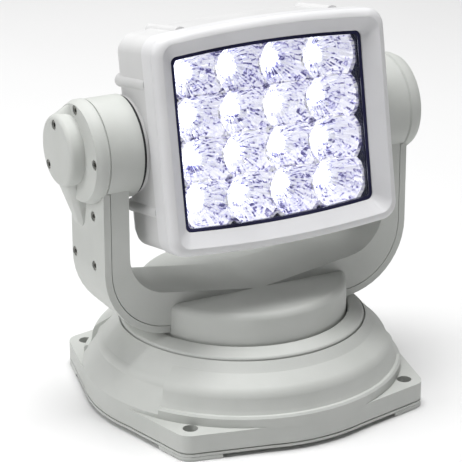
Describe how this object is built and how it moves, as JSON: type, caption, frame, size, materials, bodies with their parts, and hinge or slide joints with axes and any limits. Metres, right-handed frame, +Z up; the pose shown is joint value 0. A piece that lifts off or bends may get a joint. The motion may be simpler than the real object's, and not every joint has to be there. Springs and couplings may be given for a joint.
{
  "type": "marine searchlight",
  "caption": "Remote-controlled marine LED searchlight: square lamp head tilting in a U-shaped yoke that pans on a round deck base with mounting ears.",
  "frame": {"origin": "middle of the four mounting holes, on the deck plane under the foot pads", "axes": "+X along the front edge, -Y where the lamp looks at pan zero, +Z up along the pan axis"},
  "size_m": [0.2165, 0.1892, 0.2335],
  "materials": {
    "paint": "satin light grey paint",
    "rubber": "matt",
    "screw": "stainless, dark in its recess",
    "board": "solder mask",
    "motor": "plated",
    "bronze": "machined",
    "steel": "turned",
    "sink": "satin",
    "lens": "clear",
    "chrome": "vacuum-metallised",
    "led_plate": "white mask",
    "led": "lit"
  },
  "bodies": {
    "base": {"foot_pads": "paint", "bottom_plate": "paint", "plate_screws": "screw", "base_gasket": "rubber", "base_housing": "paint", "cable_grommet": "rubber", "control_board": "board", "pan_motor": "motor", "pan_bush": "bronze", "shroud_ring": "paint"},
    "pinion": {"pan_pinion": "bronze"},
    "turntable": {"turntable_hub": "paint", "pan_gear": "bronze", "spindle_nut": "screw", "yoke_frame": "paint", "left_arm_cover": "paint", "right_arm_cover": "paint", "cover_screws": "screw", "left_tilt_bush": "bronze", "right_tilt_bush": "bronze", "tilt_motor": "motor"},
    "head": {"tilt_coupling": "steel", "left_trunnion": "steel", "right_trunnion": "steel", "right_collar": "steel", "left_shaft_seal": "rubber", "right_shaft_seal": "rubber", "head_housing": "paint", "heat_sink": "sink", "bezel": "paint", "lens": "lens", "lens_gasket": "rubber", "reflector_array": "chrome", "reflector_frame": "rubber", "led_board": "led_plate", "leds": "led", "bezel_screws": "screw"}
  },
  "joints": [
    {"name": "pan", "type": "hinge", "parent": "base", "child": "turntable", "pos_m": [0, 0, 0.05], "axis": [0, 0, 1], "range_deg": [-185, 185]},
    {"name": "pinion_spin", "type": "hinge", "parent": "base", "child": "pinion", "pos_m": [0, 0.04012, 0.02], "axis": [0, 0, 1], "range_deg": [-555, 555]},
    {"name": "tilt", "type": "hinge", "parent": "turntable", "child": "head", "pos_m": [0, 0, 0.162], "axis": [-1, 0, 0], "range_deg": [-70, 65]}
  ],
  "couplings": [
    {"joint": "pinion_spin", "follows": "pan", "ratio": -3}
  ]
}
